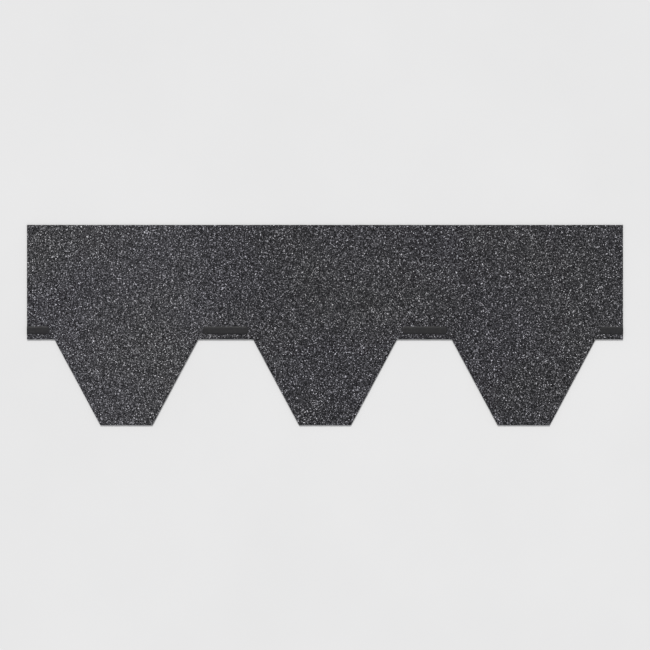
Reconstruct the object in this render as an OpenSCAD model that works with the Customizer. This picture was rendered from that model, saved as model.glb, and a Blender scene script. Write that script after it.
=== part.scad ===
// Hexagonal-tab asphalt roofing shingle: one strip, lying flat.
// X runs along the strip, parallel to the eaves. Y runs up the roof, from the tab tips to the top edge.
// Z is up, and the weather side faces up. The origin is in the middle of the underside.

/* [Strip] */
// Length of the strip, along the eaves
strip_l = 1000; // [900:10:1200]
// Thickness of the coated felt, granules included
sheet_t = 3; // [2:0.1:5]
// Lap of the top edge under the tabs of the second course above
head_lap = 48; // [42:1:80]

/* [Tabs] */
// Number of tabs along the strip
tab_count = 3; // [2:1:3]
// Depth of the tabs, which is also the height of one laid course
tab_depth = 144; // [110:1:175]
// Width of a tab across its tip
tab_tip_w = 87; // [60:1:120]
// Width of a tab at its root, where it joins the strip
tab_root_w = 241; // [190:1:295]

/* [Sealant] */
// Distance from the head of a cutout up to its sealant dab
dab_rise = 8; // [4:0.5:14]
// Distance that each end of a dab stays inside the tab tip that will cover it
dab_inset = 5.5; // [2:0.5:12]
// Width of a dab, up the roof
dab_w = 14; // [10:0.5:20]
// Height of a dab above the granules
dab_t = 0.6; // [0.3:0.1:1.5]
// Corner radius of a dab
dab_r = 4; // [1:0.5:4.5]

/* [Release film] */
// Width of the film tape on the underside
film_w = 30; // [20:1:36]
// Thickness of the film tape
film_t = 0.1; // [0.05:0.05:0.5]

/* [Hidden] */

// Width of the strip, from the tab tips to the top edge: two courses and the lap
strip_w = 2 * tab_depth + head_lap;

// Distance from the middle of one tab to the middle of the next
pitch = strip_l / tab_count;
left_x = -strip_l / 2;
tip_y = -strip_w / 2;
root_y = tip_y + tab_depth;
top_y = strip_w / 2;

// A dab lies above each cutout, where the tip of a tab in the next course comes down on it
dab_l = tab_tip_w - 2 * dab_inset;
dab_y = root_y + dab_rise + dab_w / 2;

// Strips are packed face to back, each turned half a turn, so the film mirrors the line of dabs
film_y = -dab_y;

// How far a cutting shape runs past the surface that it cuts
overcut = 1;
$fn = 48;

// Middle of a tab, counted from the left
function tab_x(i) = left_x + (i + 0.5) * pitch;

// The four corners of a tab, from its left root round its tip to its right root
function tab_corners(x) = [
    [x - tab_root_w / 2, root_y],
    [x - tab_tip_w / 2, tip_y],
    [x + tab_tip_w / 2, tip_y],
    [x + tab_root_w / 2, root_y]
];

// The strip ends in the middle of a cutout, so that two strips laid end to end make a whole one
strip_outline = concat(
    [[left_x, top_y], [left_x, root_y]],
    [for (i = [0 : tab_count - 1]) each tab_corners(tab_x(i))],
    [[-left_x, root_y], [-left_x, top_y]]
);

module rounded_rectangle(length, width, radius) {
    square([length - 2 * radius, width], center = true);
    square([length, width - 2 * radius], center = true);
    for (x = [-1, 1], y = [-1, 1])
        translate([x * (length / 2 - radius), y * (width / 2 - radius)])
            circle(r = radius);
}

// Shallow bed that the film is pressed into while the asphalt is hot
module film_bed() {
    translate([left_x - overcut, film_y - film_w / 2, -overcut])
        cube([strip_l + 2 * overcut, film_w, film_t + overcut]);
}

module shingle_sheet() {
    color("#3f3f44")
        difference() {
            linear_extrude(sheet_t) polygon(strip_outline);
            film_bed();
        }
}

// One dab over each cutout. The strip's ends are cut through the middle of a dab.
module sealant_dabs() {
    color("#16161a")
        intersection() {
            for (i = [0 : tab_count])
                translate([left_x + i * pitch, dab_y, sheet_t])
                    linear_extrude(dab_t) rounded_rectangle(dab_l, dab_w, dab_r);
            translate([left_x, tip_y, sheet_t])
                cube([strip_l, strip_w, dab_t]);
        }
}

module release_film() {
    color("#a9adb0")
        translate([left_x, film_y - film_w / 2, 0])
            cube([strip_l, film_w, film_t]);
}

shingle_sheet();
sealant_dabs();
release_film();
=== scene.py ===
"""Looks of a hexagonal-tab asphalt roofing shingle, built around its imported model.

The strip lies flat. X runs along it, parallel to the eaves. Y runs up the roof, from the tab tips to the
top edge. Z points out of the weather side. All lengths are in metres.
"""

import math

import bmesh
import bpy
import numpy as np
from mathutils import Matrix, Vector, noise


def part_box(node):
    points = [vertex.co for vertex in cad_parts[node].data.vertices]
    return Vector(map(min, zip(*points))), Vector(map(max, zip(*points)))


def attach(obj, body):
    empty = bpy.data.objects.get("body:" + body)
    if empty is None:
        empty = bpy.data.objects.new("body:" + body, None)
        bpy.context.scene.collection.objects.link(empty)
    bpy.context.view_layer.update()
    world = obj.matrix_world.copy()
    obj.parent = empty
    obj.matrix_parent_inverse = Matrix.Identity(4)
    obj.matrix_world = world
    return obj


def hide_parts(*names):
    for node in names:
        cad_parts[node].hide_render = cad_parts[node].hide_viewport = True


bl_info = {
    "name": "Hexagonal asphalt shingle",
    "version": (1, 0, 0),
    "blender": (4, 5, 0),
    "location": "View3D > Sidebar > Shingle",
    "description": "Coated felt, granules, sealant dabs and release film of one roofing strip",
    "category": "Object",
}

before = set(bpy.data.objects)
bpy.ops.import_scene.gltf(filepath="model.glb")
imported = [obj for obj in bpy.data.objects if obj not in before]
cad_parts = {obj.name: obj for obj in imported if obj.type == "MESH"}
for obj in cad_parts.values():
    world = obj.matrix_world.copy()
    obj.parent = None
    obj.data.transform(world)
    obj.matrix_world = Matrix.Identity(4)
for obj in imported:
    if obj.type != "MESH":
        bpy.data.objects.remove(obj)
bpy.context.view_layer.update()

MM = 0.001
# How near two places in the frame must be to count as the same
SAME = 0.01 * MM
# Starts the random draws that scatter the granules, so that each run lays the same ones
SEED = 41

SHEET_LOW, SHEET_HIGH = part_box("shingle_sheet")
DABS_LOW, DABS_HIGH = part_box("sealant_dabs")
FILM_LOW, FILM_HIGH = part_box("release_film")
LEFT_X, TIP_Y, BACK_Z = SHEET_LOW
RIGHT_X, TOP_Y, FACE_Z = SHEET_HIGH


# ------------------------------------------------------------------ outline of the strip, read from the frame


def corner_places(node):
    """The place of each corner of a node of the frame, rounded so that equal ones compare equal."""
    return {tuple(round(n, 5) for n in v.co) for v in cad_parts[node].data.vertices}


def read_outline():
    """The corners along the tabs' roots and along their tips, left to right, and how far up the roots lie."""
    face = [(x, y) for x, y, z in corner_places("shingle_sheet") if z > FACE_Z - SAME]
    tips = sorted(x for x, y in face if y < TIP_Y + SAME)
    inner = [(x, y) for x, y in face if TIP_Y + SAME < y < TOP_Y - SAME]
    return sorted(x for x, _ in inner), tips, min(y for _, y in inner)


ROOT_X, TIP_X, ROOT_Y = read_outline()

# Each tab: its left and right root corners, then its left and right tip corners
TABS = [(*ROOT_X[i + 1 : i + 3], *TIP_X[i : i + 2]) for i in range(0, len(TIP_X), 2)]
TAB_DEPTH = ROOT_Y - TIP_Y
TAB_PITCH = TABS[1][0] - TABS[0][0]


def dab_spans():
    """The left and right end of each sealant dab. Dabs lie a tab's pitch apart, so a wide gap parts them."""
    places = sorted({x for x, _, _ in corner_places("sealant_dabs")})
    spans = [[places[0], places[0]]]
    for x in places[1:]:
        if x - spans[-1][1] > TAB_PITCH / 2:
            spans.append([x, x])
        spans[-1][1] = x
    return spans


def inset_of(x, y):
    """How far inside the strip's outline each point lies. It is negative outside."""
    ends = np.minimum(x - LEFT_X, RIGHT_X - x)
    below_top = np.minimum(ends, TOP_Y - y)
    inset = np.minimum(below_top, y - ROOT_Y)
    for root_left, root_right, tip_left, tip_right in TABS:
        run = tip_left - root_left
        fall = (ROOT_Y - y) / TAB_DEPTH
        square = TAB_DEPTH / math.hypot(TAB_DEPTH, run)
        left = (x - (root_left + run * fall)) * square
        right = ((root_right - run * fall) - x) * square
        # The tab's sides are drawn on up through the lap, because the tab and the lap are one sheet
        in_tab = np.minimum(np.minimum(left, right), y - TIP_Y)
        inset = np.maximum(inset, np.minimum(in_tab, below_top))
    return inset


# ------------------------------------------------------------------ sizes and colours that a user may change


def length_setting(name, description, default, low, high):
    """A length that a user may change. Its default and its limits are given in millimetres."""
    return bpy.props.FloatProperty(
        name=name,
        description=description,
        default=default * MM,
        min=low * MM,
        max=high * MM,
        precision=4,
        subtype="DISTANCE",
        unit="LENGTH",
    )


def colour_setting(name, description, default):
    """A colour that a user may change."""
    return bpy.props.FloatVectorProperty(
        name=name, description=description, default=default, min=0.0, max=1.0, size=3, subtype="COLOR"
    )


class ShingleSizes(bpy.types.PropertyGroup):
    """Sizes of the strip's relief"""

    bed_depth: length_setting("Bed depth", "Depth of the bed below the weather face", 0.5, 0.2, 1.0)
    granule_spacing: length_setting("Granule spacing", "Distance between large granules", 1.62, 1.4, 3.0)
    granule_radius: length_setting("Granule radius", "Typical reach of a large granule", 1.06, 0.4, 1.6)
    clump: length_setting("Clump", "Width over which neighbouring granules share a tone", 1.7, 1.0, 8.0)
    sheet_cell: length_setting("Sheet cell", "Width of the cells of the coated felt's mesh", 4, 2, 10)
    cut_wander: length_setting("Cut wander", "How far the die-cut edge strays from its line", 0.25, 0.0, 0.6)
    paler_end: bpy.props.FloatProperty(
        name="Paler end",
        description="How much paler the mix of stones is at the left end",
        default=0.27,
        min=0.0,
        max=0.6,
        subtype="FACTOR",
    )


class ShingleColours(bpy.types.PropertyGroup):
    """Colours of the strip's finishes and of the floor"""

    stone: colour_setting("Stone", "Middle tone of the granules", (0.0274, 0.0273, 0.0309))
    asphalt: colour_setting("Asphalt", "Asphalt round the granules and in the edge", (0.008, 0.008, 0.009))
    felt: colour_setting("Felt", "Glass felt, a thin line in the cut edge", (0.085, 0.078, 0.066))
    back_sand: colour_setting("Back sand", "Fine sand pressed into the back", (0.16, 0.155, 0.145))
    sealant: colour_setting("Sealant", "Self-sealing bitumen of the dabs", (0.006, 0.006, 0.007))
    film: colour_setting("Film", "Release film on the back", (0.23, 0.235, 0.24))
    floor: colour_setting("Floor", "Pale studio floor", (0.51, 0.512, 0.515))


# Tones of the stones, from the darkest to the palest: the share of stones that are darker than each tone,
# and how many times as bright as the middle tone it is
STONE_SHADES = [
    (0.00, 0.06),
    (0.20, 0.22),
    (0.40, 0.52),
    (0.60, 1.08),
    (0.78, 2.1),
    (0.90, 4.5),
    (0.97, 10.5),
    (1.00, 24.0),
]
# How much of the palest stones is grey quartz
MOST_QUARTZ = 0.6


# ------------------------------------------------------------------ materials


class Finish:
    """One material, with short ways to add the nodes that its pattern needs."""

    def __init__(self, name):
        self.material = bpy.data.materials.new(name)
        self.material.use_nodes = True
        self.tree = self.material.node_tree
        self.shader = next(n for n in self.tree.nodes if n.type == "BSDF_PRINCIPLED")
        self.places = self.add("ShaderNodeTexCoord").outputs["Object"]

    def add(self, kind, **settings):
        """Adds a node and sets its properties."""
        node = self.tree.nodes.new(kind)
        for key, value in settings.items():
            setattr(node, key, value)
        return node

    def feed(self, value, socket):
        """Sets a socket to a number or a colour, or links another node's output to it."""
        if isinstance(value, bpy.types.NodeSocket):
            self.tree.links.new(value, socket)
        elif isinstance(value, (int, float)):
            socket.default_value = value
        else:
            socket.default_value = (*value, 1.0)

    def attribute(self, name):
        """The number that the mesh holds under this name."""
        return self.add("ShaderNodeAttribute", attribute_name=name).outputs["Fac"]

    def clouds(self, scale, detail=3.0, roughness=0.55, stretch=1.0):
        """Smooth noise with this many bumps to a metre, drawn out along X by a factor."""
        squeezed = self.add("ShaderNodeVectorMath", operation="DIVIDE")
        self.feed(self.places, squeezed.inputs[0])
        squeezed.inputs[1].default_value = (stretch, 1.0, 1.0)
        node = self.add("ShaderNodeTexNoise")
        self.feed(squeezed.outputs["Vector"], node.inputs["Vector"])
        self.feed(scale, node.inputs["Scale"])
        self.feed(detail, node.inputs["Detail"])
        self.feed(roughness, node.inputs["Roughness"])
        return node.outputs["Fac"]

    def grains(self, scale):
        """Packed grains, this many to a metre: a random number for each, and the distance from its middle."""
        node = self.add("ShaderNodeTexVoronoi")
        self.feed(self.places, node.inputs["Vector"])
        self.feed(scale, node.inputs["Scale"])
        parts = self.add("ShaderNodeSeparateColor")
        self.feed(node.outputs["Color"], parts.inputs["Color"])
        return parts.outputs["Red"], node.outputs["Distance"]

    def span(self, value, low, high, to_low, to_high):
        """Stretches the range from low to high onto another range, and holds it there."""
        node = self.add("ShaderNodeMapRange")
        sockets = ("Value", "From Min", "From Max", "To Min", "To Max")
        for socket, number in zip(sockets, (value, low, high, to_low, to_high)):
            self.feed(number, node.inputs[socket])
        return node.outputs["Result"]

    def maths(self, operation, *values):
        """The result of one operation on numbers or on other nodes' outputs."""
        node = self.add("ShaderNodeMath", operation=operation)
        for value, socket in zip(values, node.inputs):
            self.feed(value, socket)
        return node.outputs[0]

    def mix(self, share, a, b, blend="MIX"):
        """Colour a with this share of colour b blended in."""
        node = self.add("ShaderNodeMix", data_type="RGBA", blend_type=blend)
        for value, socket in ((share, "Factor"), (a, "A"), (b, "B")):
            # Names repeat for each kind of data, and only the sockets of the kind in use are enabled
            self.feed(value, next(s for s in node.inputs if s.name == socket and s.enabled))
        return next(s for s in node.outputs if s.enabled)

    def ramp(self, value, stops):
        """A colour from a number, by stops that each give a number and its colour."""
        node = self.add("ShaderNodeValToRGB")
        elements = node.color_ramp.elements
        while len(elements) < len(stops):
            elements.new(1.0)
        for element, (place, colour) in zip(elements, stops):
            element.position = place
            element.color = (*colour, 1.0)
        self.feed(value, node.inputs["Fac"])
        return node.outputs["Color"]

    def bump(self, height, distance):
        """Shades the surface as if it rose by this distance where the height is 1."""
        node = self.add("ShaderNodeBump")
        self.feed(distance, node.inputs["Distance"])
        self.feed(height, node.inputs["Height"])
        self.feed(node.outputs["Normal"], self.shader.inputs["Normal"])

    def done(self, colour, roughness, specular):
        """Sets the shader's main values and gives the finished material."""
        self.feed(colour, self.shader.inputs["Base Color"])
        self.feed(roughness, self.shader.inputs["Roughness"])
        self.feed(specular, self.shader.inputs["Specular IOR Level"])
        return self.material


def times(colour, factor):
    """A colour that is this many times as bright."""
    return tuple(min(1.0, factor * c) for c in colour)


def stone_tone(colour, share, shade):
    """One tone of the stones. Paler stones hold more quartz, which is greyer than the middle tone."""
    grey = sum(colour) / 3
    quartz = MOST_QUARTZ * share**2
    return times([c + (grey - c) * quartz for c in colour], shade)


def stone_tones(finish, share, colours):
    """Colour of stones from a number that is random for each. The mix drifts paler, bluer or greyer."""
    drifted = finish.maths("POWER", share, finish.maths("SUBTRACT", 1.0, finish.attribute("drift")))
    tones = [(place, stone_tone(colours.stone, place, shade)) for place, shade in STONE_SHADES]
    tone = finish.ramp(drifted, tones)
    grey, blue = (1.0, 1.0, 0.985), (0.99, 0.985, 1.03)
    tint = finish.ramp(finish.clouds(5.5, 2.0, 0.4), [(0.36, grey), (0.62, blue)])
    return finish.mix(1.0, tone, tint, "MULTIPLY")


def granule_finish(colours):
    """Crushed stone: each stone has its own tone, with paler chips and duller faces."""
    f = Finish("mineral_granules")
    tone = stone_tones(f, f.attribute("stone"), colours)
    chips = f.span(f.clouds(1900.0, 2.0), 0.3, 0.7, 0.72, 1.0)
    colour = f.mix(1.0, tone, f.ramp(chips, [(0.0, (0, 0, 0)), (1.0, (1, 1, 1))]), "MULTIPLY")
    return f.done(colour, f.span(f.clouds(1200.0, 2.0), 0.3, 0.7, 0.5, 0.85), 0.05)


def bed_finish(colours):
    """Asphalt packed with the smaller granules, which fill the room between the large ones."""
    f = Finish("granule_bed")
    share, from_middle = f.grains(820.0)
    seam = f.span(from_middle, 0.5, 0.72, 0.0, 0.85)
    colour = f.mix(seam, stone_tones(f, share, colours), tuple(colours.asphalt))
    f.bump(f.maths("SUBTRACT", 1.0, from_middle), 0.4 * MM)
    return f.done(colour, f.span(f.clouds(900.0), 0.3, 0.7, 0.5, 0.85), 0.1)


def cut_edge_finish(colours):
    """Die-cut edge: torn black asphalt, with the felt as a thin frayed line at mid height."""
    f = Finish("cut_edge")
    parts = f.add("ShaderNodeSeparateXYZ")
    f.feed(f.places, parts.inputs["Vector"])
    middle = 0.48 * FACE_Z
    felt_z = f.span(f.clouds(160.0), 0.3, 0.7, middle - 0.25 * MM, middle + 0.25 * MM)
    away = f.maths("ABSOLUTE", f.maths("SUBTRACT", parts.outputs["Z"], felt_z))
    line = f.span(away, 0.18 * MM, 0.42 * MM, 1.0, 0.0)
    frayed = f.maths("MULTIPLY", line, f.span(f.clouds(1400.0), 0.4, 0.62, 0.15, 1.0))
    crumbs = f.ramp(f.clouds(1100.0, 4.0), [(0.4, tuple(colours.asphalt)), (0.75, (0.04, 0.04, 0.042))])
    f.bump(f.clouds(1300.0, 5.0), 0.35 * MM)
    colour = f.mix(frayed, crumbs, tuple(colours.felt))
    return f.done(colour, f.span(f.clouds(800.0), 0.3, 0.7, 0.5, 0.85), 0.2)


def sanded_back_finish(colours):
    """Back of the strip: asphalt dusted with fine pale sand, which is rubbed thin in patches."""
    f = Finish("sanded_back")
    share, from_middle = f.grains(2600.0)
    cover = f.span(f.clouds(26.0, 5.0, 0.6), 0.3, 0.72, 0.25, 0.95)
    sand = f.maths("MULTIPLY", cover, f.span(share, 0.2, 0.8, 0.0, 1.0))
    f.bump(from_middle, 0.12 * MM)
    colour = f.mix(sand, tuple(colours.asphalt), tuple(colours.back_sand))
    return f.done(colour, f.span(sand, 0.0, 1.0, 0.6, 0.95), 0.25)


def sealant_finish(colours):
    """Poured bitumen with faint flow ripples, pinholes and a little settled dust."""
    f = Finish("sealant_bitumen")
    dust = f.span(f.clouds(420.0, 5.0, 0.65), 0.52, 0.78, 0.0, 0.35)
    _, from_pinhole = f.grains(420.0)
    f.bump(f.maths("MULTIPLY", f.clouds(190.0), f.span(from_pinhole, 0.0, 0.16, 0.0, 1.0)), 0.35 * MM)
    colour = f.mix(dust, tuple(colours.sealant), (0.045, 0.044, 0.042))
    return f.done(colour, f.span(f.clouds(260.0, 4.0), 0.3, 0.75, 0.42, 0.65), 0.25)


def film_finish(colours):
    """Thin grey release film, stretched lengthwise, with paler streaks along it that are painted sheen. Black
    asphalt shows through where the two touch.
    """
    f = Finish("polyester_film")
    contact = f.span(f.clouds(110.0, 4.0, 0.65, 2.5), 0.46, 0.6, 0.0, 0.75)
    # Paler streaks along the film are painted sheen of its stretch lines
    sheen_streaks = f.span(f.clouds(700.0, 4.0, 0.6, 14.0), 0.48, 0.75, 0.0, 0.55)
    colour = f.mix(contact, tuple(colours.film), times(colours.film, 0.3))
    colour = f.mix(sheen_streaks, colour, times(colours.film, 1.5))
    f.bump(f.maths("ADD", f.clouds(130.0, 4.0), f.clouds(500.0, 3.0, 0.5, 10.0)), 0.25 * MM)
    return f.done(colour, f.span(f.clouds(500.0, 5.0, 0.7), 0.3, 0.75, 0.14, 0.42), 0.5)


def floor_finish(colours):
    """Matt pale floor with a hardly visible mottle."""
    f = Finish("floor_paint")
    colour = f.ramp(f.clouds(3.0, 4.0), [(0.3, times(colours.floor, 0.97)), (0.7, tuple(colours.floor))])
    return f.done(colour, 0.9, 0.0)


# ------------------------------------------------------------------ helpers for meshes


def wander(x, y, z, grain):
    """Smooth noise from -1 to 1 with bumps about one grain across."""
    return noise.noise(Vector((x, y, z)) / grain)


def spaced(start, end, cell):
    """Evenly spaced numbers from start to end, both included, about a cell apart."""
    return np.linspace(start, end, max(2, round(abs(end - start) / cell) + 1))


def spaced_through(stops, cell):
    """Evenly spaced numbers that pass through every stop, about a cell apart."""
    runs = [spaced(a, b, cell)[:-1] for a, b in zip(stops, stops[1:])]
    return np.concatenate([*runs, stops[-1:]])


def lay_rows(bm, rows):
    """Quads between rows of vertices. They face up where rows run along +X and each lies up from the last."""
    for low, high in zip(rows, rows[1:]):
        for i in range(len(low) - 1):
            bm.faces.new((low[i], low[i + 1], high[i + 1], high[i]))


def mesh_of(bm, name, sharp_from):
    """A smooth mesh from a bmesh, with sharp edges where faces meet at more than an angle in degrees."""
    bm.normal_update()
    mesh = bpy.data.meshes.new(name)
    bm.to_mesh(mesh)
    bm.free()
    mesh.polygons.foreach_set("use_smooth", np.ones(len(mesh.polygons), bool))
    mesh.set_sharp_from_angle(angle=math.radians(sharp_from))
    return mesh


def add_piece(name, mesh, node, finishes):
    """Adds a finished piece that stands for a node of the frame."""
    piece = bpy.data.objects.new(name, mesh)
    bpy.context.scene.collection.objects.link(piece)
    for finish in finishes:
        mesh.materials.append(finish)
    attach(piece, "root")
    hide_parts(node)


# ------------------------------------------------------------------ the coated felt


def lay_flat_sheet(bm, cell):
    """The strip as one flat layer of quads that follows its outline and the edges of the film."""
    columns = spaced_through(ROOT_X, cell)
    rows = spaced_through([ROOT_Y, FILM_LOW[1], FILM_HIGH[1], TOP_Y], cell)
    lap = [[bm.verts.new((x, y, 0.0)) for x in columns] for y in rows]
    lay_rows(bm, lap)
    for root_left, root_right, tip_left, tip_right in TABS:
        first, last = (int(np.argmin(abs(columns - x))) for x in (root_left, root_right))
        shares = (columns[first : last + 1] - root_left) / (root_right - root_left)
        tab = [lap[0][first : last + 1]]
        for y in spaced(ROOT_Y, TIP_Y, cell)[1:]:
            fall = (ROOT_Y - y) / TAB_DEPTH
            left = root_left + (tip_left - root_left) * fall
            right = root_right + (tip_right - root_right) * fall
            tab.append([bm.verts.new((left + (right - left) * s, y, 0.0)) for s in shares])
        lay_rows(bm, list(reversed(tab)))


def outward(vert):
    """Unit vector that points out of the flat sheet at a vertex on its outline."""
    total = Vector((0.0, 0.0, 0.0))
    for edge in vert.link_edges:
        if edge.is_boundary:
            along = edge.other_vert(vert).co - vert.co
            side = Vector((along.y, -along.x, 0.0)).normalized()
            inwards = edge.link_faces[0].calc_center_median() - vert.co
            total += -side if side.dot(inwards) > 0 else side
    return total.normalized()


# How far inside the outline the middle line of the cut edge lies
EDGE_SHY = 0.1 * MM
# Steps of the cut edge from the bed down: height as a share of the bed's, and how far the step stands back
EDGE_STEPS = [(0.94, 0.0), (0.72, 0.06 * MM), (0.48, -0.02 * MM), (0.22, 0.05 * MM), (0.05, 0.12 * MM)]
# How far the edge stands back where it meets the underside, and where it meets the bed
UNDERSIDE_SETBACK = 0.2 * MM
BED_SETBACK = 0.06 * MM
# Lengths of the broad and the fine waves in the cut edge
BROAD_WAVES = 7 * MM
FINE_WAVES = 1.6 * MM
# How far the bed sinks at the rim
RIM_DROOP = 0.08 * MM
# Height and length of the bed's own slow waves
BED_WAVE_HEIGHT = 0.1 * MM
BED_WAVE_LENGTH = 22 * MM
# Room between the film and the roof of its place in the back
FILM_ROOM = 0.02 * MM
# Places of the cut edge and the back in the coated felt's list of finishes, which starts with the bed's
EDGE, BACK = 1, 2


def rim_place(vert, out, z, setback, cut_wander):
    """A place on the cut edge at a height, strayed from the outline as a worn die leaves it."""
    place = vert.co.to_2d().to_3d()
    broad = wander(place.x, place.y, z, BROAD_WAVES)
    fine = wander(place.x, place.y, z, FINE_WAVES)
    stray = min(cut_wander * (0.6 * broad + 0.5 * fine), EDGE_SHY)
    return place + out * (stray - setback - EDGE_SHY) + Vector((0.0, 0.0, z))


def close_underside(bm, bed, cut_wander):
    """Adds the back and the cut edge to the flat sheet. Returns the outward direction of each rim vertex."""
    top_verts, top_faces = list(bm.verts), list(bm.faces)
    rim_edges = [e for e in bm.edges if e.is_boundary]
    rim = {v: outward(v) for v in top_verts if v.is_boundary}
    film_roof = FILM_HIGH[2] + FILM_ROOM
    back, wall = {}, {}
    for vert in top_verts:
        over_film = FILM_LOW[1] - SAME < vert.co.y < FILM_HIGH[1] + SAME
        z = film_roof if over_film else BACK_Z
        if vert in rim:
            back[vert] = bm.verts.new(rim_place(vert, rim[vert], z, UNDERSIDE_SETBACK, cut_wander))
            wall[vert] = [vert]
            for share, setback in EDGE_STEPS:
                wall[vert].append(bm.verts.new(rim_place(vert, rim[vert], share * bed, setback, cut_wander)))
            wall[vert].append(back[vert])
        else:
            back[vert] = bm.verts.new((vert.co.x, vert.co.y, z))
    for face in top_faces:
        bm.faces.new([back[v] for v in reversed(face.verts)]).material_index = BACK
    for edge in rim_edges:
        loop = edge.link_loops[0]
        here, there = wall[loop.vert], wall[loop.link_loop_next.vert]
        for high_a, high_b, low_a, low_b in zip(here, there, here[1:], there[1:]):
            bm.faces.new((high_b, high_a, low_a, low_b)).material_index = EDGE
    return rim


def build_coated_felt(sizes, colours):
    """The sheet under the large granules: granular bed, torn cut edge all round, and sanded back."""
    bed = FACE_Z - sizes.bed_depth
    bm = bmesh.new()
    lay_flat_sheet(bm, sizes.sheet_cell)
    top_verts = list(bm.verts)
    rim = close_underside(bm, bed, sizes.cut_wander)
    for vert in top_verts:
        if vert in rim:
            vert.co = rim_place(vert, rim[vert], bed - RIM_DROOP, BED_SETBACK, sizes.cut_wander)
        else:
            vert.co.z = bed + BED_WAVE_HEIGHT * wander(vert.co.x, vert.co.y, 0.0, BED_WAVE_LENGTH)
    mesh = mesh_of(bm, "coated_felt", 50)
    places = np.array([v.co[:2] for v in mesh.vertices])
    drift = mesh.attributes.new("drift", "FLOAT", "POINT")
    drift.data.foreach_set("value", drift_at(*places.T, sizes.paler_end).astype(np.float32))
    finishes = [bed_finish(colours), cut_edge_finish(colours), sanded_back_finish(colours)]
    add_piece("coated_felt", mesh, "shingle_sheet", finishes)


# ------------------------------------------------------------------ the granules


# Of the full-sized granules this share is ridged, and the rest are pointed
RIDGED_SHARE = 0.55
# A granule that reaches less than this share of the usual radius is a shard
SHARD_REACH = 0.74
# How widely granules differ in reach, and the least and the greatest reach as shares of the usual radius
REACH_SPREAD = 0.2
LEAST_REACH = 0.55
MOST_REACH = 1.5
# How far a granule may lie off its place in the rows, as a share of the spacing
PLACE_SPREAD = 0.36
# Height of a full-sized granule above the bed, how widely heights differ, and the least and the greatest
STONE_HEIGHT = 0.53 * MM
HEIGHT_SPREAD = 0.11 * MM
LEAST_HEIGHT = 0.25 * MM
MOST_HEIGHT = 0.78 * MM
# Height of a shard as a share of what a pointed stone of its reach has
SHARD_HEIGHT = 0.8
# The least and the greatest depth of a foot's corners below the bed
FOOT_DEPTHS = (0.12 * MM, 0.3 * MM)
# How far a foot's corner may turn from its even place, in radians
CORNER_TURN = 0.3
# The least and the greatest reach of a foot's corner, as shares of the stone's
CORNER_REACHES = (0.78, 1.15)
# The least and the greatest width of a foot, as shares of its length
FOOT_WIDTHS = (0.68, 1.0)
# How far out a ridge's end lies: the least and the greatest share of the way to the foot's side
RIDGE_ENDS = (0.3, 0.62)
# The least and the greatest height of a ridge's end, as shares of the stone's
RIDGE_HEIGHTS = (0.8, 1.05)
# How far a stone's point may lean off the middle of its foot, as a share of its reach
POINT_LEAN = 0.28
# Granules are knocked off this share of a narrow margin along the cut edge
WORN_SHARE = 0.12
WORN_MARGIN = 2 * MM
# A granule needs at least this share of its reach between its middle and the cut edge
RIM_SHARE = 0.6
# Near the edge it reaches no further than the edge, or this far if that is more, and a little past it
LEAST_RIM_REACH = 0.5 * MM
RIM_PROUD = 0.15 * MM
# How far a granule may stray over its clump's border, as a share of the clump's width
CLUMP_SPREAD = 0.2
# This share of granules has a tone of its own, whatever clump it lies in
STRAY_SHARE = 0.1
# How far along the strip the bands of paler mix lean for each metre up the roof
DRIFT_LEAN = 0.18
# Length over which the paler end blends into the rest
DRIFT_BLEND = 22 * MM
# Faint patches in the mix: how strong they are, and the scales of their length, width and slant
PATCH_DRIFT = 0.04
PATCH_LENGTH = 71 * MM
PATCH_WIDTH = 93 * MM
PATCH_SLANT = 160 * MM
# How much darker the mix is as a whole
BASE_DRIFT = 0.03
# Number of meshes that the lap's granules are split into, to keep each one light
LAP_MESHES = 4
# Share of its spot's width that a granule fills on the spot map
SPOT_FILL = 0.7

# The three kinds of stone: how many corners each has round its foot and on top, and its closed faces.
# Corners are counted anticlockwise round the foot, then on top. The foot of four corners has two faces.
SQUARE_FOOT = [(0, 3, 2), (0, 2, 1)]
STONE_KINDS = {
    "ridged": (4, 2, [(0, 1, 5), (0, 5, 4), (1, 2, 5), (2, 3, 4), (2, 4, 5), (3, 0, 4), *SQUARE_FOOT]),
    "pointed": (4, 1, [(0, 1, 4), (1, 2, 4), (2, 3, 4), (3, 0, 4), *SQUARE_FOOT]),
    "shard": (3, 1, [(0, 1, 3), (1, 2, 3), (2, 0, 3), (0, 2, 1)]),
}


def stone_feet(rng, radius, corners):
    """Uneven polygons round the origin: x and y of each corner, an array of stones by corners by two."""
    count = len(radius)
    turn = rng.uniform(0, 2 * math.pi, (count, 1))
    even = turn + np.arange(corners) * 2 * math.pi / corners
    angles = even + rng.uniform(-CORNER_TURN, CORNER_TURN, (count, corners))
    reach = radius[:, None] * rng.uniform(*CORNER_REACHES, (count, corners))
    squeeze = rng.uniform(*FOOT_WIDTHS, (count, 1))
    x, y = reach * np.cos(angles), reach * np.sin(angles) * squeeze
    lie = rng.uniform(0, 2 * math.pi, (count, 1))
    return np.stack([x * np.cos(lie) - y * np.sin(lie), x * np.sin(lie) + y * np.cos(lie)], 2)


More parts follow.
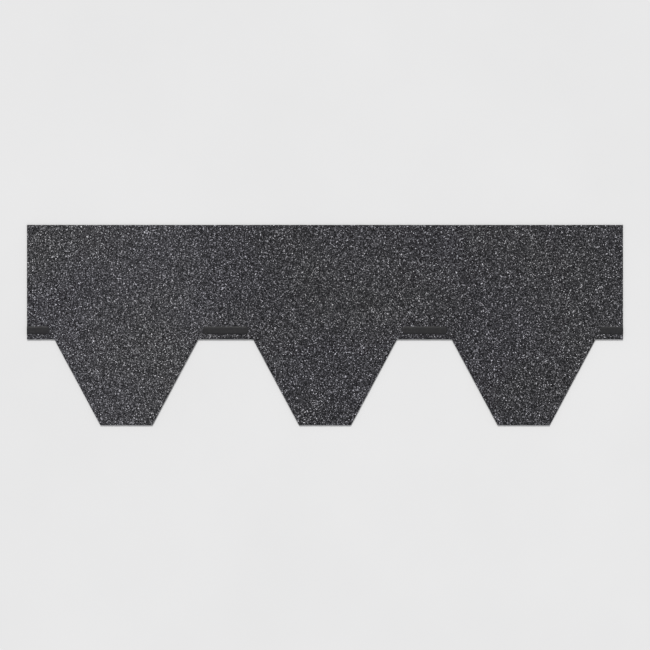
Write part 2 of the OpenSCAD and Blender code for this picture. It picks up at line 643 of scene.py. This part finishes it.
def shape_stones(rng, kind, places, radius, bed, usual_radius):
    """Corners of every stone of one kind, an array of stones by corners by three."""
    corners, tops, _ = STONE_KINDS[kind]
    count = len(places)
    stones = np.empty((count, corners + tops, 3))
    feet = stone_feet(rng, radius, corners)
    stones[:, :corners, :2] = feet
    stones[:, :corners, 2] = bed - rng.uniform(*FOOT_DEPTHS, (count, corners))
    size = np.sqrt(radius / usual_radius)
    height = np.clip(rng.normal(STONE_HEIGHT, HEIGHT_SPREAD, count) * size, LEAST_HEIGHT, MOST_HEIGHT)
    if kind == "ridged":
        for top, (a, b) in ((4, (3, 0)), (5, (1, 2))):
            end = (feet[:, a] + feet[:, b]) / 2
            stones[:, top, :2] = end * rng.uniform(*RIDGE_ENDS, (count, 1))
            stones[:, top, 2] = bed + height * rng.uniform(*RIDGE_HEIGHTS, count)
    else:
        lean = rng.uniform(-POINT_LEAN, POINT_LEAN, (count, 2)) * radius[:, None]
        stones[:, corners, :2] = feet.mean(1) + lean
        stones[:, corners, 2] = bed + height * (1.0 if kind == "pointed" else SHARD_HEIGHT)
    stones[:, :, :2] += places[:, None, :]
    return stones


def drift_at(x, y, paler_end):
    """How far the mix of stones has drifted to paler ones, because the hoppers never pour quite evenly."""
    along = x + DRIFT_LEAN * y - (LEFT_X + RIGHT_X) / 2
    paler = 1 / (1 + np.exp((along + TAB_PITCH / 2) / DRIFT_BLEND))
    patches = np.sin(along / PATCH_LENGTH + 0.8) * np.sin(y / PATCH_WIDTH + along / PATCH_SLANT)
    return paler_end * paler + PATCH_DRIFT * patches - BASE_DRIFT


def clumped_tones(rng, places, clump):
    """A tone from 0 to 1 for each granule. Those of a clump share one, and the blend is well stirred.

    Of each block of two by two clumps, one lies in each quarter of the range of tones.
    """
    loose = places + rng.uniform(-CLUMP_SPREAD, CLUMP_SPREAD, places.shape) * clump
    column, row = np.floor((loose - loose.min(0)) / clump).astype(int).T
    quarters = np.tile(np.arange(4), (column.max() // 2 + 1, row.max() // 2 + 1, 1))
    quarter = rng.permuted(quarters, axis=2)[column // 2, row // 2, 2 * (column % 2) + row % 2]
    within = rng.random((column.max() + 1, row.max() + 1))[column, row]
    stray = rng.random(len(places)) < STRAY_SHARE
    return np.where(stray, rng.random(len(places)), (quarter + within) / 4)


def scatter(rng, sizes):
    """Where the large granules lie, in uneven rows, and how far each reaches."""
    gap = sizes.granule_spacing
    columns = np.arange(LEFT_X + gap / 2, RIGHT_X, gap)
    rows = np.arange(TIP_Y + gap / 2, TOP_Y, gap * math.sqrt(3) / 2)
    x, y = np.meshgrid(columns, rows)
    x = x + (np.arange(len(rows)) % 2)[:, None] * gap / 2
    places = np.stack([x.ravel(), y.ravel()], 1)
    places += rng.uniform(-PLACE_SPREAD, PLACE_SPREAD, places.shape) * gap
    reach = np.clip(rng.lognormal(0.0, REACH_SPREAD, len(places)), LEAST_REACH, MOST_REACH)
    radius = sizes.granule_radius * reach
    inset = inset_of(*places.T)
    knocked_off = (inset < WORN_MARGIN) & (rng.random(len(places)) < WORN_SHARE)
    kept = (inset > RIM_SHARE * radius) & ~knocked_off
    places, radius, inset = places[kept], radius[kept], inset[kept]
    return places, np.minimum(radius, np.maximum(inset, LEAST_RIM_REACH) + RIM_PROUD)


def granule_areas(places):
    """Which granules lie on each tab and on each length of the lap, by the name of their piece."""
    x, y = places.T
    areas = {}
    for i, (root_left, root_right, _, _) in enumerate(TABS):
        areas[f"tab_granules_{i + 1}"] = (y < ROOT_Y) & (root_left < x) & (x < root_right)
    stops = np.linspace(LEFT_X, RIGHT_X, LAP_MESHES + 1)[1:-1]
    length_of = np.searchsorted(stops, x)
    for i in range(LAP_MESHES):
        areas[f"lap_granules_{i + 1}"] = (y >= ROOT_Y) & (length_of == i)
    return areas


def spot_map(groups):
    """Each corner's place on a square map where every stone, seen from above, has a spot of its own.

    Stones that lie side by side get spots side by side, so the map's colours also hold from afar.
    """
    outlines = [stones[:, :, :2] for stones, *_ in groups]
    x, y = np.concatenate([outline.mean(1) for outline in outlines]).T
    # The stones are dealt into rows from the tips up, and each row is then sorted from left to right
    side = math.ceil(math.sqrt(len(x)))
    row = np.argsort(np.argsort(y)) // side
    column = np.empty_like(row)
    column[np.lexsort((x, row))] = np.arange(len(row)) % side
    spots = np.stack([column, row], 1) + 0.5
    places = []
    for outline in outlines:
        spot, spots = spots[: len(outline)], spots[len(outline) :]
        low, high = outline.min(1, keepdims=True), outline.max(1, keepdims=True)
        across = (outline - (low + high) / 2) / (high - low)
        places.append((spot[:, None] + SPOT_FILL * across).reshape(-1, 2) / side)
    return np.concatenate(places)


def granule_mesh(name, groups):
    """One mesh from groups of stones of one kind each. Every face carries its stone's tone and drift."""
    verts, faces, tones, drifts = [], [], [], []
    first = 0
    for stones, pattern, tone, drift in groups:
        count, corners, _ = stones.shape
        starts = first + np.arange(count)[:, None, None] * corners
        verts.append(stones.reshape(-1, 3))
        faces.append((starts + np.array(pattern)).reshape(-1, 3))
        tones.append(np.repeat(tone, len(pattern)))
        drifts.append(np.repeat(drift, len(pattern)))
        first += count * corners
    verts, faces = np.concatenate(verts), np.concatenate(faces)
    mesh = bpy.data.meshes.new(name)
    mesh.vertices.add(len(verts))
    mesh.vertices.foreach_set("co", verts.ravel().astype(np.float32))
    mesh.loops.add(faces.size)
    mesh.loops.foreach_set("vertex_index", faces.ravel().astype(np.int32))
    mesh.polygons.add(len(faces))
    mesh.polygons.foreach_set("loop_start", np.arange(0, faces.size, 3, dtype=np.int32))
    mesh.update(calc_edges=True)
    mesh.polygons.foreach_set("use_smooth", np.zeros(len(faces), bool))
    for label, values in (("stone", tones), ("drift", drifts)):
        attribute = mesh.attributes.new(label, "FLOAT", "FACE")
        attribute.data.foreach_set("value", np.concatenate(values).astype(np.float32))
    spots = spot_map(groups)[faces.ravel()]
    mesh.uv_layers.new(name="OFBake").data.foreach_set("uv", spots.ravel().astype(np.float32))
    return mesh


def build_granules(sizes, colours):
    """Crushed stone over the whole weather side, pressed into the asphalt."""
    rng = np.random.default_rng(SEED)
    bed = FACE_Z - sizes.bed_depth
    places, radius = scatter(rng, sizes)
    tone = clumped_tones(rng, places, sizes.clump)
    drift = drift_at(*places.T, sizes.paler_end)
    kinds = np.where(rng.random(len(places)) < RIDGED_SHARE, "ridged", "pointed")
    kinds = np.where(radius < SHARD_REACH * sizes.granule_radius, "shard", kinds)
    finish = granule_finish(colours)
    for name, inside in granule_areas(places).items():
        groups = []
        for kind, (_, _, pattern) in STONE_KINDS.items():
            chosen = inside & (kinds == kind)
            stones = shape_stones(rng, kind, places[chosen], radius[chosen], bed, sizes.granule_radius)
            groups.append((stones, pattern, tone[chosen], drift[chosen]))
        add_piece(name, granule_mesh(name, groups), "shingle_sheet", [finish])


# ------------------------------------------------------------------ the sealant dabs


# Radius of a dab's corners, seen from above
DAB_CORNER = 4 * MM
# Number of places across a dab, and how far apart they are along it
DAB_PLACES = 15
DAB_STEP = 1.2 * MM
# How blunt a dab's sides and ends are. A round one has 2.
SIDE_BLUNTNESS = 5
END_BLUNTNESS = 10
# How far a dab's top keeps below its highest place, and how far from its tip its rounding stops
CROWN_SHY = 0.03 * MM
END_SHY = 0.02 * MM
# How unevenly it was poured: shares of its width and height that waver, and how far its places sway
WIDTH_WAVER = 0.035
HEIGHT_WAVER = 0.1
SWAY = 0.5 * MM
# How far a dab's foot lies below the bed, and the thickness that the dab keeps at its sides
DAB_SINK = 0.1 * MM
SIDE_THICKNESS = 0.02 * MM
# A dab shorter than this share of the full length is one that was cut through with the strip
CUT_DAB_SHARE = 0.75


def dab_row(x, centre, half_length, foot):
    """Places across a dab at one x, from its lower edge to its upper edge, over its domed top."""
    middle = (DABS_LOW[1] + DABS_HIGH[1]) / 2
    half_width = (DABS_HIGH[1] - DABS_LOW[1]) / 2
    along = min(abs(x - centre), half_length - END_SHY)
    into_corner = max(0.0, along - (half_length - DAB_CORNER))
    width = half_width - DAB_CORNER + math.sqrt(DAB_CORNER**2 - into_corner**2)
    width *= 1 - WIDTH_WAVER + WIDTH_WAVER * wander(x, 1.0, 0.0, 6 * MM)
    end_fall = math.sqrt(1 - (along / half_length) ** END_BLUNTNESS)
    crown = DABS_HIGH[2] - CROWN_SHY - foot
    places = []
    for share in np.sin(np.linspace(-math.pi / 2, math.pi / 2, DAB_PLACES)):
        side_fall = math.sqrt(1 - abs(share) ** SIDE_BLUNTNESS)
        lumps = 1 - HEIGHT_WAVER + HEIGHT_WAVER * wander(x, share * half_width, 3.0, 7 * MM)
        sway = SWAY * wander(x, 9.0, share, 9 * MM) * (1 - abs(share))
        places.append((x, middle + share * width + sway, foot + crown * side_fall * end_fall * lumps))
    return places


def build_sealant(sizes, colours):
    """Poured dabs with soft shoulders and an uneven edge. The end dabs are cut through with the strip."""
    foot = FACE_Z - sizes.bed_depth - DAB_SINK
    spans = dab_spans()
    full_length = max(right - left for left, right in spans)
    bm = bmesh.new()
    for left, right in spans:
        centre = (left + right) / 2
        if right - left < CUT_DAB_SHARE * full_length:
            centre = left if left < LEFT_X + SAME else right
        rows = [
            [bm.verts.new(place) for place in dab_row(x, centre, full_length / 2, foot)]
            for x in spaced(left, right, DAB_STEP)
        ]
        near, far = [row[0] for row in rows], [row[-1] for row in rows]
        near_foot, far_foot = (
            [bm.verts.new((v.co.x, v.co.y, foot - SIDE_THICKNESS)) for v in side] for side in (near, far)
        )
        # Rows run along +Y here, so each is turned round to make the dome face up
        lay_rows(bm, [list(reversed(row)) for row in rows])
        lay_rows(bm, [near_foot, near])
        lay_rows(bm, [far, far_foot])
        lay_rows(bm, [far_foot, near_foot])
        bm.faces.new([*rows[0], far_foot[0], near_foot[0]])
        bm.faces.new([*reversed(rows[-1]), near_foot[-1], far_foot[-1]])
    mesh = mesh_of(bm, "sealant_strip", 60)
    add_piece("sealant_strip", mesh, "sealant_dabs", [sealant_finish(colours)])


# ------------------------------------------------------------------ the release film


# Number of places across the film, and how far apart they are along it
FILM_PLACES = 11
FILM_STEP = 3 * MM
# How far the film's slit edge keeps inside its place, and how far it wavers
SLIT_SHY = 0.3 * MM
SLIT_WAVER = 0.2 * MM
# Depth of a crease, how steep its sides are, how far creases lie apart, and how much they lean
CREASE_DEPTH = 0.06 * MM
CREASE_STEEPNESS = 3
CREASE_SPACING = 9 * MM
CREASE_LEAN = 0.6


def build_film(colours):
    """Release film in its bed on the back, with shallow creases and a wavy slit edge."""
    middle = (FILM_LOW[1] + FILM_HIGH[1]) / 2
    half_width = (FILM_HIGH[1] - FILM_LOW[1]) / 2
    bm = bmesh.new()
    lower, upper = [], []
    for x in spaced(FILM_LOW[0], FILM_HIGH[0], FILM_STEP):
        width = half_width - SLIT_SHY + SLIT_WAVER * wander(x, 5.0, 0.0, 30 * MM)
        lower.append([])
        upper.append([])
        for y in middle + width * np.linspace(-1, 1, FILM_PLACES):
            from_crease = abs(wander(x + CREASE_LEAN * y, y, 0.0, CREASE_SPACING))
            z = FILM_LOW[2] + CREASE_DEPTH * max(0.0, 1 - CREASE_STEEPNESS * from_crease)
            lower[-1].append(bm.verts.new((x, y, z)))
            upper[-1].append(bm.verts.new((x, y, FILM_HIGH[2])))
    lay_rows(bm, lower)
    lay_rows(bm, [list(reversed(row)) for row in upper])
    lay_rows(bm, [[row[0] for row in lower], [row[0] for row in upper]])
    lay_rows(bm, [[row[-1] for row in upper], [row[-1] for row in lower]])
    bm.faces.new([*upper[0], *reversed(lower[0])])
    bm.faces.new([*lower[-1], *reversed(upper[-1])])
    mesh = mesh_of(bm, "film_tape", 40)
    add_piece("film_tape", mesh, "release_film", [film_finish(colours)])


# ------------------------------------------------------------------ floor, light and camera


# The floor lies this far below the strip, so that the two don't share a plane
FLOOR_GAP = 0.05 * MM
# The view is this many times as wide as the strip is long
VIEW_MARGIN = 1.09


def build_stage(colours):
    """A pale floor, a soft sun from up the roof, and a camera that looks straight down."""
    scene = bpy.context.scene
    bm = bmesh.new()
    bmesh.ops.create_grid(bm, x_segments=8, y_segments=8, size=40.0)
    floor = bpy.data.objects.new("floor", mesh_of(bm, "floor", 30))
    floor.location.z = BACK_Z - FLOOR_GAP
    floor.data.materials.append(floor_finish(colours))
    scene.collection.objects.link(floor)

    # A sun lights the floor alike everywhere, and its width in the sky softens the shadows
    sun = bpy.data.lights.new("soft_sun", "SUN")
    sun.energy = 3.6
    sun.angle = math.radians(16)
    sun.color = (1.0, 0.99, 0.97)
    bearing, rise = math.radians(97), math.radians(44)
    level = Vector((math.cos(bearing), math.sin(bearing), 0.0))
    towards_sun = math.cos(rise) * level + Vector((0.0, 0.0, math.sin(rise)))
    sun_holder = bpy.data.objects.new("soft_sun", sun)
    sun_holder.rotation_euler = towards_sun.to_track_quat("Z", "Y").to_euler()
    scene.collection.objects.link(sun_holder)

    scene.world = bpy.data.worlds.new("studio")
    scene.world.use_nodes = True
    background = next(n for n in scene.world.node_tree.nodes if n.type == "BACKGROUND")
    background.inputs["Color"].default_value = (0.985, 0.985, 1.0, 1.0)
    background.inputs["Strength"].default_value = 0.83

    camera = bpy.data.cameras.new("camera")
    camera.lens = 85.0
    camera.sensor_width = 36.0
    camera.clip_end = 200.0
    view_width = VIEW_MARGIN * (RIGHT_X - LEFT_X)
    camera_holder = bpy.data.objects.new("camera", camera)
    camera_holder.location = (
        (LEFT_X + RIGHT_X) / 2,
        (TIP_Y + TOP_Y) / 2,
        FACE_Z + view_width * camera.lens / camera.sensor_width,
    )
    scene.collection.objects.link(camera_holder)
    scene.camera = camera_holder
    scene.view_settings.view_transform = "Standard"


# ------------------------------------------------------------------ operators and panel


class SHINGLE_OT_stage(bpy.types.Operator):
    """Adds the floor, the light and the camera"""

    bl_idname = "shingle.stage"
    bl_label = "Build stage"

    def execute(self, context):
        build_stage(context.scene.shingle_colours)
        return {"FINISHED"}


class SHINGLE_OT_coated_felt(bpy.types.Operator):
    """Builds the coated felt: the sheet under the granules, with its cut edge and sanded back"""

    bl_idname = "shingle.coated_felt"
    bl_label = "Build coated felt"

    def execute(self, context):
        build_coated_felt(context.scene.shingle_sizes, context.scene.shingle_colours)
        return {"FINISHED"}


class SHINGLE_OT_granules(bpy.types.Operator):
    """Covers the weather side with crushed stone"""

    bl_idname = "shingle.granules"
    bl_label = "Build granules"

    def execute(self, context):
        build_granules(context.scene.shingle_sizes, context.scene.shingle_colours)
        return {"FINISHED"}


class SHINGLE_OT_sealant(bpy.types.Operator):
    """Pours the sealant dabs above the cutouts"""

    bl_idname = "shingle.sealant"
    bl_label = "Build sealant dabs"

    def execute(self, context):
        build_sealant(context.scene.shingle_sizes, context.scene.shingle_colours)
        return {"FINISHED"}


class SHINGLE_OT_film(bpy.types.Operator):
    """Lays the release film in its bed on the back"""

    bl_idname = "shingle.film"
    bl_label = "Build release film"

    def execute(self, context):
        build_film(context.scene.shingle_colours)
        return {"FINISHED"}


class SHINGLE_PT_sidebar(bpy.types.Panel):
    """Sizes, colours and building steps of the strip"""

    bl_idname = "SHINGLE_PT_sidebar"
    bl_label = "Shingle"
    bl_space_type = "VIEW_3D"
    bl_region_type = "UI"
    bl_category = "Shingle"

    def draw(self, context):
        for settings in (context.scene.shingle_sizes, context.scene.shingle_colours):
            box = self.layout.box()
            for key in settings.__annotations__:
                box.prop(settings, key)
        for step in BUILDING_STEPS:
            self.layout.operator(step.bl_idname)


BUILDING_STEPS = [
    SHINGLE_OT_stage,
    SHINGLE_OT_coated_felt,
    SHINGLE_OT_granules,
    SHINGLE_OT_sealant,
    SHINGLE_OT_film,
]
CLASSES = [ShingleSizes, ShingleColours, *BUILDING_STEPS, SHINGLE_PT_sidebar]


def register():
    for cls in CLASSES:
        bpy.utils.register_class(cls)
    bpy.types.Scene.shingle_sizes = bpy.props.PointerProperty(type=ShingleSizes)
    bpy.types.Scene.shingle_colours = bpy.props.PointerProperty(type=ShingleColours)


def unregister():
    del bpy.types.Scene.shingle_colours
    del bpy.types.Scene.shingle_sizes
    for cls in reversed(CLASSES):
        bpy.utils.unregister_class(cls)


def main():
    register()
    bpy.ops.shingle.stage()
    bpy.ops.shingle.coated_felt()
    bpy.ops.shingle.granules()
    bpy.ops.shingle.sealant()
    bpy.ops.shingle.film()


if __name__ == "__main__":
    main()
